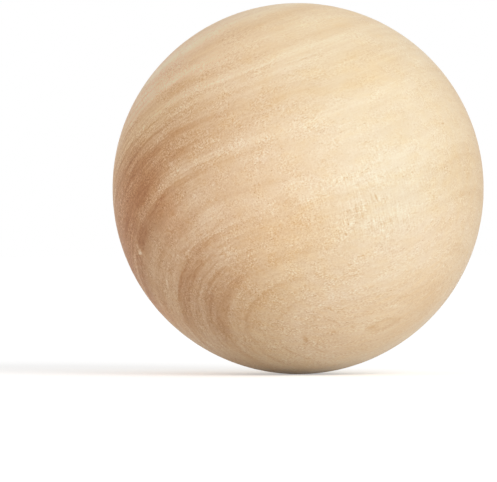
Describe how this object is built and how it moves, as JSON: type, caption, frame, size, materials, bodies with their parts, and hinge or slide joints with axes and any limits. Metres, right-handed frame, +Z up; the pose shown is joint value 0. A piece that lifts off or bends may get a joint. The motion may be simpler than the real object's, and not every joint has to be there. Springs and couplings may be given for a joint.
{
  "type": "wooden ball",
  "caption": "Solid round ball turned from one piece of pale hardwood, sanded smooth and left unfinished, for craft and bench use.",
  "frame": {"origin": "centre of the ball", "axes": "+Z up and -Y towards the viewer, with the ball turned as the picture shows it; +X is to the viewer's right. The shape is the same about every axis, and only the grain sets the ball's turn"},
  "size_m": [0.08, 0.08, 0.08],
  "materials": {
    "wood": "bare pale hardwood, fine sanded, faint satin sheen, tan and pinkish brown growth bands"
  },
  "bodies": {
    "root": {"ball": "wood"}
  },
  "joints": []
}
